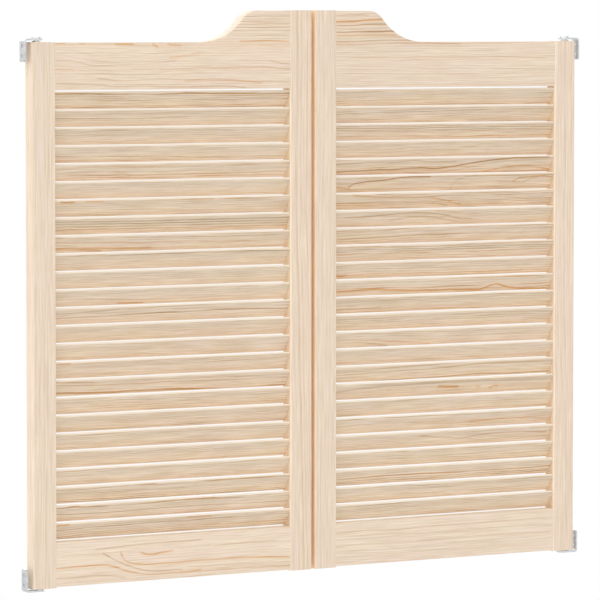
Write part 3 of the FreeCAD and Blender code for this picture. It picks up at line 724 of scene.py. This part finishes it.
# Dark lines that stand out on a board: kind, strength, half width, then (along, up) in millimetres from
# the middle of the rail or of the panel, with only the points that each line's bends need
FIGURE = {
    "left bottom": (
        ("orange", 0.55, 1.2, (-188, -5), (-128, -4.5), (-112, -5), (-95, -9), (-81, -14.5), (-66, -18.5),
         (-54, -21), (-25, -23), (-1, -23), (40, -21.5)),
        ("brown", 0.40, 1.1, (-114, 11), (-108, 7.5), (-101, 3.5), (-92, -1.5), (-81, -6), (-62, -13),
         (-49, -16.5), (-17, -18.5), (10, -18.5)),
        ("orange", 0.50, 1.2, (-86, 10), (-84, 4.5), (-81, 0), (-73, -4), (-57, -7), (-33, -8.5),
         (-1, -8.5), (23, -7.5), (105, -8), (141, -9.5), (187, -12.5)),
        ("orange", 0.50, 1.4, (-55, 9.5), (-50, 7.5), (-44, 6), (-33, 5.5), (-25, 7), (-15, 8), (-6, 9)),
        ("brown", 0.30, 1.1, (-127, 17.5), (-96, 19), (-73, 20), (-25, 21), (40, 21.5)),
        ("brown", 0.25, 1.0, (-188, -19), (-160, -19.5), (-133, -18.5), (-105, -20.5), (-81, -24.5)),
        ("brown", 0.25, 1.1, (23, -16), (64, -16.5), (113, -17.5), (187, -18)),
        ("brown", 0.30, 1.1, (7, -23), (80, -23.5), (121, -23.5), (186, -24.5)),
        ("brown", 0.20, 1.0, (-9, -33.5), (23, -30), (64, -28.5)),
        ("brown", 0.15, 1.0, (64, 11.5), (162, 13)),
    ),
    "left top": (
        ("grey", 0.40, 0.9, (110, 69), (187, 70)),
        ("grey", 0.30, 0.8, (102, 65.5), (187, 66.5)),
        ("grey", 0.35, 0.9, (99, 62), (187, 62.5)),
        ("grey", 0.35, 0.9, (93, 57.5), (141, 58.5), (187, 59.5)),
        ("grey", 0.40, 0.9, (91, 53.5), (187, 54)),
        ("grey", 0.35, 0.9, (88, 49), (187, 49.5)),
        ("grey", 0.20, 0.8, (88, 45), (187, 45.5)),
        ("grey", 0.35, 0.9, (86, 41.5), (187, 42.5)),
        ("grey", 0.20, 0.8, (86, 38), (187, 38)),
        ("orange", 0.45, 1.2, (106, 34), (125, 34.5), (155, 35), (184, 34)),
        ("orange", 0.30, 1.5, (-186, 31.5), (-174, 31.5)),
        ("orange", 0.25, 1.5, (-149, 31), (-143, 31)),
        ("orange", 0.45, 1.5, (-93, 30.5), (-66, 30.5)),
        ("orange", 0.40, 1.6, (-34, 30.5), (-31, 28.5), (-28, 27)),
        ("orange", 0.35, 1.6, (-10, 30.5), (1, 29.5), (9, 29)),
        ("orange", 0.40, 0.9, (-187, -3.5), (-161, -4)),
        ("grey", 0.15, 0.9, (-185, 23.5), (-157, 20.5), (-126, 15), (-99, 12), (-63, 12.5), (-23, 18),
         (17, 21.5)),
        ("grey", 0.15, 0.9, (-185, 16.5), (-149, 11), (-110, 6), (-71, 5), (-31, 7.5), (9, 11.5), (41, 15)),
        ("brown", 0.20, 0.9, (-185, 8.5), (-157, 6.5), (-121, 0.5), (-79, 2), (-39, 3.5), (1, 7.5)),
        ("grey", 0.15, 0.8, (-134, -4.5), (-90, -6.5), (-55, -4.5), (-23, -3), (17, -0.5), (57, -0.5)),
        ("grey", 0.15, 0.8, (-126, -10), (-90, -12), (-47, -11.5), (-7, -8)),
        ("brown", 0.30, 0.9, (-121, -16.5), (-102, -18.5), (-87, -20.5), (-55, -19.5), (-23, -18),
         (17, -19.5), (57, -18.5), (81, -19), (114, -22), (187, -23)),
        ("brown", 0.30, 0.9, (-185, -23), (-118, -26), (-95, -28), (-55, -28), (1, -29.5), (76, -28.5),
         (114, -31)),
        ("orange", 0.30, 1.3, (17, -20.5), (86, -20.5), (119, -22.5), (141, -24)),
        ("brown", 0.30, 0.9, (-23, -4.5), (1, -4.5), (41, -3), (81, -2.5), (130, -2), (187, -5.5)),
        ("orange", 0.30, 1.1, (-7, 11.5), (9, 13.5), (25, 15.5), (41, 18.5)),
        ("orange", 0.20, 1.1, (135, 30), (163, 28)),
        ("brown", 0.25, 0.9, (155, 6), (187, 1.5)),
    ),
    "right top": (
        ("brown", 0.30, 0.9, (-188, 70.5), (-162, 71.5), (-135, 70.5)),
        ("orange", 0.75, 1.2, (-188, 61.5), (-165, 62), (-145, 63.5), (-125, 64.5), (-108, 65.5)),
        ("brown", 0.50, 1.1, (-188, 56), (-162, 56.5), (-132, 58), (-105, 58.5)),
        ("grey", 0.20, 0.8, (-188, 51.5), (-149, 52), (-101, 53)),
        ("brown", 0.75, 1.1, (-188, 46.5), (-159, 47), (-123, 47.5), (-89, 48)),
        ("orange", 0.40, 1.1, (-188, 41.5), (-162, 42), (-128, 42.5), (-89, 42.5)),
        ("grey", 0.20, 0.8, (-188, 37.5), (-132, 38.5), (-81, 39)),
        ("brown", 0.45, 1.0, (-188, 33), (-157, 33.5), (-118, 35), (-62, 35.5), (-47, 34.5)),
        ("brown", 0.35, 1.0, (-188, 29), (-140, 29.5), (-81, 31), (-38, 31), (22, 30)),
        ("grey", 0.20, 0.8, (-188, 24.5), (-132, 25), (-47, 26.5), (39, 26)),
        ("grey", 0.20, 0.8, (-188, 17), (-115, 18.5), (-30, 20), (91, 20)),
        ("brown", 0.20, 0.8, (-81, 6), (-13, 9.5), (57, 11), (171, 9)),
    ),
    "right bottom": (
        ("brown", 0.25, 0.9, (-188, 16.5), (-139, 18), (-88, 16), (-28, 18), (174, 18.5)),
        ("grey", 0.20, 0.9, (-188, 7), (-131, 5.5), (-71, 8), (6, 7), (94, 9), (183, 7)),
        ("brown", 0.20, 0.9, (-188, -3), (-127, -1), (-63, -3), (15, -1.5), (103, -2), (183, -2.5)),
        ("grey", 0.15, 0.8, (-188, -11), (-97, -11), (7, -9), (183, -10.5)),
        ("brown", 0.15, 0.8, (-188, -19), (-28, -18), (59, -19), (183, -18.5)),
    ),
    "right slats": (
        ("brown", 0.45, 0.9, (-186, 204), (-116, 205.5), (-92, 205), (-54, 207), (-19, 205), (18, 205)),
        ("brown", 0.85, 1.1, (-181, 192.5), (-148, 193.5), (-111, 194.5), (-88, 194.5), (-64, 196),
         (-39, 196.5), (-14, 195), (9, 197), (45, 202), (80, 206), (117, 208.5), (179, 209)),
        ("grey", 0.30, 0.9, (-2, 190.5), (23, 192.5), (48, 196.5), (82, 202), (131, 205), (186, 206)),
        ("orange", 0.55, 1.0, (73, 189.5), (87, 191.5), (109, 195), (135, 196.5), (160, 195), (188, 190.5)),
        ("brown", 0.90, 1.0, (-160, 171), (-157, 174), (-140, 177.5), (-109, 179.5), (-80, 183), (-55, 184),
         (-29, 184)),
        ("orange", 0.55, 1.1, (-182, 171), (-170, 169), (-158, 167)),
        ("grey", 0.30, 0.9, (15, 166.5), (16, 173.5), (22, 178.5), (41, 182.5), (61, 183.5)),
        ("orange", 0.70, 1.1, (121, 174.5), (127, 178.5), (138, 180), (156, 181), (168, 181.5), (187, 179)),
        ("brown", 0.35, 1.0, (140, 173.5), (150, 178), (161, 180)),
        ("orange", 0.50, 1.0, (-158, 159), (-134, 157), (-92, 155), (-54, 154.5), (-30, 154), (-12, 151.5),
         (9, 147), (31, 142)),
        ("brown", 0.35, 0.9, (-183, 147.5), (-84, 148.5), (-51, 147), (-29, 147), (-12, 144.5), (7, 141.5)),
        ("orange", 0.30, 1.0, (-179, 144), (-155, 144.5), (-121, 144)),
        ("brown", 0.25, 0.9, (30, 158.5), (73, 159), (103, 159), (131, 156.5)),
        ("brown", 0.45, 0.9, (-170, 127), (-132, 128), (-104, 129.5), (-69, 131.5), (-43, 131.5),
         (-24, 130.5), (2, 127), (17, 123.5), (48, 121)),
        ("brown", 0.30, 0.9, (-92, 122), (-75, 123.5), (-51, 126), (-28, 125.5), (-2, 121.5), (24, 117.5)),
        ("orange", 0.35, 1.0, (-18, 134), (5, 133), (23, 130), (57, 129)),
        ("brown", 0.30, 0.9, (-187, 108), (-174, 108), (-155, 109.5), (-131, 109.5)),
        ("orange", 0.70, 1.3, (-181, 43.5), (-171, 42.5), (-165, 43.5)),
        ("orange", 0.95, 1.1, (-181, 20.5), (-161, 21), (-144, 22), (-119, 22.5), (-88, 20.5), (-37, 18.5),
         (0, 18), (11, 18.5), (24, 17.5), (63, 16.5), (72, 18.5), (83, 22.5), (92, 24), (103, 21),
         (122, 17.5), (184, 14.5)),
        ("brown", 0.40, 0.9, (-182, -5), (-108, -5)),
        ("orange", 0.70, 2.0, (-10, -122.5), (19, -124), (24, -124)),
        ("orange", 0.45, 2.3, (57, -125.5), (63, -125.5)),
        ("orange", 0.60, 1.8, (82, -128.5), (86, -126.5), (90, -125.5), (94, -126)),
        ("orange", 0.20, 2.6, (-99, -124), (-89, -124)),
        ("orange", 0.20, 2.6, (-55, -125), (-48, -125)),
        ("grey", 0.25, 0.9, (-107, -118), (-80, -118.5), (-43, -117.5), (41, -115)),
        ("orange", 0.50, 1.0, (47, -177), (66, -176.5), (97, -175), (136, -176), (188, -177.5)),
        ("brown", 0.50, 0.9, (-42, -193.5), (-17, -195.5), (9, -199), (30, -200), (49, -198), (83, -195.5),
         (107, -195), (179, -197.5)),
        ("grey", 0.20, 0.9, (-188, -140), (-122, -140), (-82, -141), (-59, -140.5), (16, -137)),
    ),
    "left slats": (
        ("orange", 0.65, 1.4, (-178, 159), (-168, 158.5), (-159, 159)),
        ("orange", 0.40, 1.4, (-140, 158.5), (-112, 159)),
        ("orange", 0.50, 1.2, (25, 159), (63, 159)),
        ("grey", 0.65, 0.9, (-186, 131.5), (-86, 130.5), (10, 130), (186, 130)),
        ("grey", 0.60, 0.9, (-185, 128), (-84, 127), (12, 126.5), (188, 126)),
        ("grey", 0.65, 0.9, (-184, 124.5), (-83, 123.5), (13, 123), (188, 122.5)),
        ("brown", 0.40, 0.9, (-182, 120), (14, 119.5), (188, 119)),
        ("orange", 0.45, 1.5, (-182, 94), (-144, 94.5), (-79, 92.5), (-33, 92)),
        ("grey", 0.50, 0.9, (-102, 83), (-23, 84), (50, 84), (185, 83)),
        ("orange", 0.50, 1.2, (-83, 16), (-45, 16)),
        ("grey", 0.20, 0.9, (-183, -3.5), (-156, 5.5), (-116, 3.5), (-36, 1.5), (23, 4.5)),
        ("orange", 0.55, 1.4, (-185, -65), (-166, -65)),
        ("orange", 0.55, 1.4, (-186, -288.5), (-169, -288.5)),
        ("orange", 0.45, 1.2, (21, -289.5), (58, -289.5)),
    ),
}

STILE_PINE = pine("pine stile", "stile")
RAIL_PINE = {
    (side, level): pine(f"pine {side} {level} rail", "rail", FIGURE[f"{side} {level}"])
    for side in LEAVES for level in ("top", "bottom")
}
SLAT_PINE = {
    side: pine(f"pine {side} slats", "slat", FIGURE[f"{side} slats"], PANEL_CENTRES[side])
    for side in LEAVES
}


def grain(heart, spacing, strength, dive, seed, tone=0.0, warmth=0.0):
    """How a board is cut from its tree, as growth_rings reads it; tone and warmth shift its colour."""
    return {"heart": heart, "grain": (spacing, strength, dive), "board": (seed, tone, warmth)}


STILES = {
    ("left", "outer"): grain((0, -45, -20), 4.2, 0.24, 0.02, 1.3),
    ("left", "inner"): grain((60, 38, -25), 4.8, 0.34, 0.03, 2.7),
    ("right", "inner"): grain((-80, -40, -30), 4.4, 0.17, 0.02, 3.9),
    ("right", "outer"): grain((0, 42, -22), 4.6, 0.20, 0.03, 5.2),
}
TOP_RAILS = {
    "left": grain((-40, -120, -12), 3.4, 0.36, 0.05, 6.1, 0.03),
    "right": grain((60, -150, 10), 3.3, 0.42, 0.04, 7.7, 0.015),
}
BOTTOM_RAILS = {
    "left": grain((-200, 120, -30), 3.4, 0.18, 0.0, 8.3, 0.02),
    "right": grain((-60, -60, -16), 4.0, 0.28, 0.04, 9.6),
}


def slat_grains(dice):
    """One tree's worth of louvres: some quarter-sawn and plain, some flat-sawn with strong lines."""
    return [
        grain(
            (dice.uniform(-150, 150), dice.choice((-1, 1)) * dice.uniform(10, 70), -dice.uniform(4, 40)),
            dice.uniform(2.3, 3.8), dice.choice((0.6, 0.7, 0.85, 1.1, 1.35)), dice.uniform(0.0, 0.06),
            dice.uniform(0, 90), dice.uniform(0.005, 0.025), dice.uniform(0.0, 0.2),
        )
        for _ in range(SLATS_IN_BANK * BANKS)
    ]


for number, side in enumerate(LEAVES):
    dice = random.Random(11 + number)
    slats = slat_grains(dice)
    for kind in ("outer", "inner"):
        build_stile(side, kind, STILE_PINE, STILES[side, kind])
    build_top_rail(side, RAIL_PINE[side, "top"], TOP_RAILS[side])
    build_bottom_rail(side, RAIL_PINE[side, "bottom"], BOTTOM_RAILS[side])
    for bank in range(1, BANKS + 1):
        build_slats(side, bank, SLAT_PINE[side], slats, dice)

FINISHES = (
    (zinc_plate(), ("top_bracket", "bottom_bracket", "top_pivot_pin", "bottom_pivot_pin")),
    (spring_steel(), ("torsion_rod",)),
    (moulded_nylon(), ("top_bush", "bottom_bush", "rod_anchor")),
)
for finish, kinds in FINISHES:
    for node in (f"{side}_{kind}" for side in LEAVES for kind in kinds):
        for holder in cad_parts[node].material_slots:
            holder.material = finish


# ---------------------------------------------------------------- floor, light and camera

# The floor fades into the white around it between two shares of its radius
FLOOR_LEVEL = -0.40
FLOOR_RADIUS = 2.2
FLOOR_FADE = (0.45, 0.97)
FLOOR_CORNERS = 96

# Soft light of the room, and the lamps: where each shines from, its spread in degrees, its strength
ROOM_LIGHT = 0.71
LAMPS = {
    "top lamp": ((-2.7, -1.5, 5.1), 28, 0.46),
    "left lamp": ((-5.8, -0.6, 1.2), 60, 0.70),
    "front lamp": ((-1.2, -5.8, 0.7), 60, 0.48),
    "back lamp": ((0.6, 5.1, 3.0), 60, 1.06),
}

# Camera: lens and film in millimetres, turn to the right and look down in degrees
LENS = 259.11
FILM_WIDTH = 36.0
CAMERA_PLACE = (-3.16295, -5.29625, 0.78167)
CAMERA_TURN = 30.7174
CAMERA_DIP = 3.6304
SIGHT_END = 100.0


def seen_rays(w, path):
    """1 for what the camera sees, straight or in a mirror or glass, else 0."""
    return w.math("MAXIMUM", path["Is Camera Ray"],
                  w.math("MAXIMUM", path["Is Glossy Ray"], path["Is Transmission Ray"]))


def build_floor():
    """A plain pale round floor under the hanging pair, fading into the white around it.

    The camera sees through it from underneath, so that it hides nothing there.
    """
    bm = bmesh.new()
    bmesh.ops.create_circle(bm, cap_ends=True, radius=FLOOR_RADIUS, segments=FLOOR_CORNERS,
                            matrix=Matrix.Translation((0, 0, FLOOR_LEVEL)))
    floor = add_object("floor", into_mesh("floor", bm))
    material, w, shader = new_material("pale floor")
    shader.inputs["Base Color"].default_value = colour(244, 244, 243)
    shader.inputs["Roughness"].default_value = 0.8
    x, y, _ = w.split(w.node("ShaderNodeTexCoord").outputs["Object"])
    distance = w.vector("LENGTH", w.join(x, y, 0.0))
    edge = w.ramp(distance, *(FLOOR_RADIUS * share for share in FLOOR_FADE))
    path = w.node("ShaderNodeLightPath").outputs
    white = w.node("ShaderNodeEmission", Color=(1, 1, 1, 1), Strength=1.0)
    surface = w.mix_shaders(w.math("MULTIPLY", edge, seen_rays(w, path)), shader.outputs[0],
                            white.outputs[0])
    under = w.math("MULTIPLY", w.node("ShaderNodeNewGeometry").outputs["Backfacing"],
                   path["Is Camera Ray"])
    surface = w.mix_shaders(under, surface, w.node("ShaderNodeBsdfTransparent").outputs[0])
    w.feed(material.node_tree.nodes["Material Output"].inputs["Surface"], surface)
    floor.data.materials.append(material)


def light_room():
    """Soft grey light all round; the camera, mirrors and glass see plain white."""
    world = bpy.data.worlds.new("studio")
    world.use_nodes = True
    bpy.context.scene.world = world
    w = Wiring(world.node_tree)
    background = world.node_tree.nodes["Background"]
    background.inputs["Color"].default_value = (1, 1, 1, 1)
    path = w.node("ShaderNodeLightPath").outputs
    extra = w.math("MULTIPLY", seen_rays(w, path), 1 - ROOM_LIGHT)
    w.feed(background.inputs["Strength"], w.math("ADD", extra, ROOM_LIGHT))


def far_lamp(name, place, spread, strength):
    """A large soft lamp so far off that it lights the whole pair evenly."""
    lamp = bpy.data.lights.new(name, "SUN")
    lamp.angle = math.radians(spread)
    lamp.energy = strength
    holder = add_object(name, lamp)
    holder.location = place
    holder.rotation_euler = (-Vector(place)).to_track_quat("-Z", "Y").to_euler()


def build_camera():
    camera = bpy.data.cameras.new("camera")
    camera.sensor_width = FILM_WIDTH
    camera.lens = LENS
    camera.clip_end = SIGHT_END
    holder = add_object("camera", camera)
    holder.location = CAMERA_PLACE
    holder.rotation_euler = (math.radians(90 - CAMERA_DIP), 0, math.radians(-CAMERA_TURN))
    bpy.context.scene.camera = holder


build_floor()
light_room()
for name, lamp in LAMPS.items():
    far_lamp(name, *lamp)
build_camera()
bpy.context.scene.view_settings.view_transform = "Standard"
